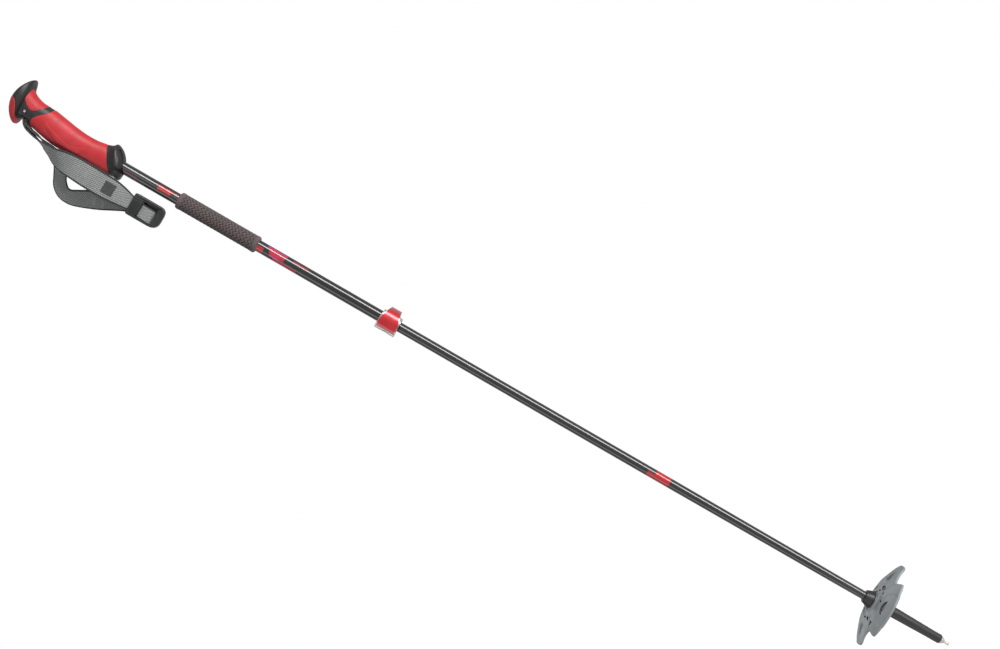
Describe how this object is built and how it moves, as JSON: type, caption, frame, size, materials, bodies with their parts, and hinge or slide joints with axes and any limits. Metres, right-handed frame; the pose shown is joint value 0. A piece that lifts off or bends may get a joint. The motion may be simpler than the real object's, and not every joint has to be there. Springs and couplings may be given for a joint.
{
  "type": "ski pole",
  "caption": "Length-adjustable ski pole with a beaked grip, wrist strap, foam hand grip, lever lock, two shafts, snow basket and hard tip.",
  "frame": {"origin": "centre of the carbide pin's end face, on the shafts' axis", "axes": "+Z along the shafts from the tip to the grip, +X to the front of the grip where its beak points, -X to the palm side where the strap hangs"},
  "size_m": [0.1223, 0.1017, 1.2579],
  "materials": {
    "black_plastic": "moulded black plastic, satin",
    "red_rubber": "soft red rubber, matte with a slight sheen",
    "steel": "bare steel",
    "webbing": "grey woven webbing with black edges",
    "shaft_lacquer": "gloss black lacquer on aluminium with red blocks",
    "foam": "charcoal closed-cell foam, matte",
    "red_anodised": "red anodised aluminium with bare bevelled edges",
    "carbide": "sintered hard metal",
    "grey_plastic": "moulded grey plastic, matte"
  },
  "bodies": {
    "upper_section": {"grip_frame": "black_plastic", "grip_front_pad": "red_rubber", "grip_crown_pad": "red_rubber", "grip_sleeve": "red_rubber", "grip_collar": "black_plastic", "strap_pin": "steel", "strap_anchor": "webbing", "upper_shaft": "shaft_lacquer", "foam_grip": "foam", "clamp_band": "steel", "clamp_axle": "steel", "clamp_washer": "steel"},
    "lever": {"lock_lever": "red_anodised"},
    "screw": {"tension_screw": "steel"},
    "lower_section": {"lower_shaft": "shaft_lacquer", "shaft_guide": "black_plastic", "tip_ferrule": "black_plastic", "tip_holder": "steel", "carbide_pin": "carbide"},
    "snow_basket": {"basket": "grey_plastic"},
    "strap": {"strap_front": "webbing", "strap_rear": "webbing", "strap_tail": "webbing", "strap_buckle": "black_plastic"}
  },
  "joints": [
    {"name": "length_adjust", "type": "slide", "parent": "upper_section", "child": "lower_section", "axis": [0, 0, 1], "range_m": [-0.02, 0.35]},
    {"name": "lever_open", "type": "hinge", "parent": "upper_section", "child": "lever", "pos_m": [-0.0106, -0.0078, 0.749], "axis": [0, 0, -1], "range_deg": [0, 120]},
    {"name": "tension_turn", "type": "hinge", "parent": "upper_section", "child": "screw", "pos_m": [-0.0106, 0.005, 0.749], "axis": [0, 1, 0], "continuous": true},
    {"name": "basket_release", "type": "slide", "parent": "lower_section", "child": "snow_basket", "axis": [0, 0, -1], "range_m": [0, 0.084]},
    {"name": "strap_swing", "type": "hinge", "parent": "upper_section", "child": "strap", "pos_m": [-0.0144, 0, 1.2285], "axis": [0, 1, 0], "range_deg": [0, 100]}
  ]
}
